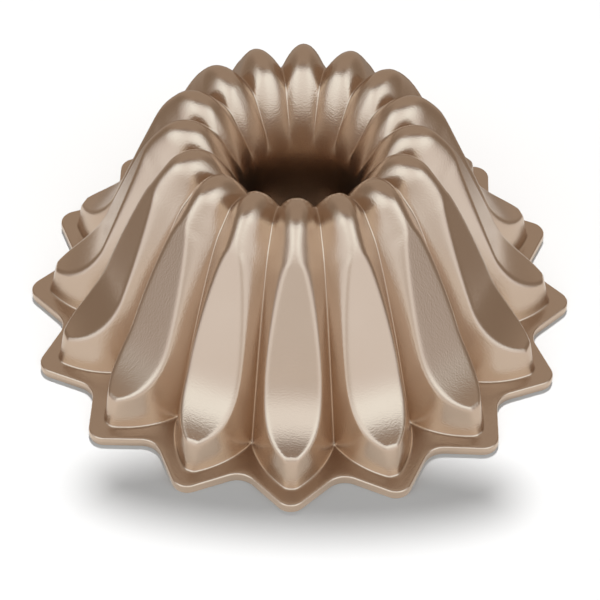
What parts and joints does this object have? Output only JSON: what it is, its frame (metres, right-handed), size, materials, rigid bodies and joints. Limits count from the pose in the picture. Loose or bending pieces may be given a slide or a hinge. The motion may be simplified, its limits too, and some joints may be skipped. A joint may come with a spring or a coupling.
{
  "type": "fluted tube cake pan",
  "caption": "Ring cake pan in cast aluminium with petal-shaped flutes, a star-pointed rim and an open centre tube, resting mouth down on its rim.",
  "frame": {"origin": "centre of the rim's underside, on the axis of the centre tube", "axes": "+Z along the tube's axis from the rim to the crown, as the pan stands in the picture; one flute points to -Y"},
  "size_m": [0.26, 0.26, 0.1146],
  "materials": {
    "cast_champagne": "champagne-gold satin metallic coat with a fine grain, over cast aluminium"
  },
  "bodies": {
    "root": {"centre_tube": "cast_champagne", "flute_01": "cast_champagne", "flute_02": "cast_champagne", "flute_03": "cast_champagne", "flute_04": "cast_champagne", "flute_05": "cast_champagne", "flute_06": "cast_champagne", "flute_07": "cast_champagne", "flute_08": "cast_champagne", "flute_09": "cast_champagne", "flute_10": "cast_champagne", "flute_11": "cast_champagne", "flute_12": "cast_champagne", "flute_13": "cast_champagne", "flute_14": "cast_champagne", "flute_15": "cast_champagne", "flute_16": "cast_champagne", "star_rim": "cast_champagne"}
  },
  "joints": []
}
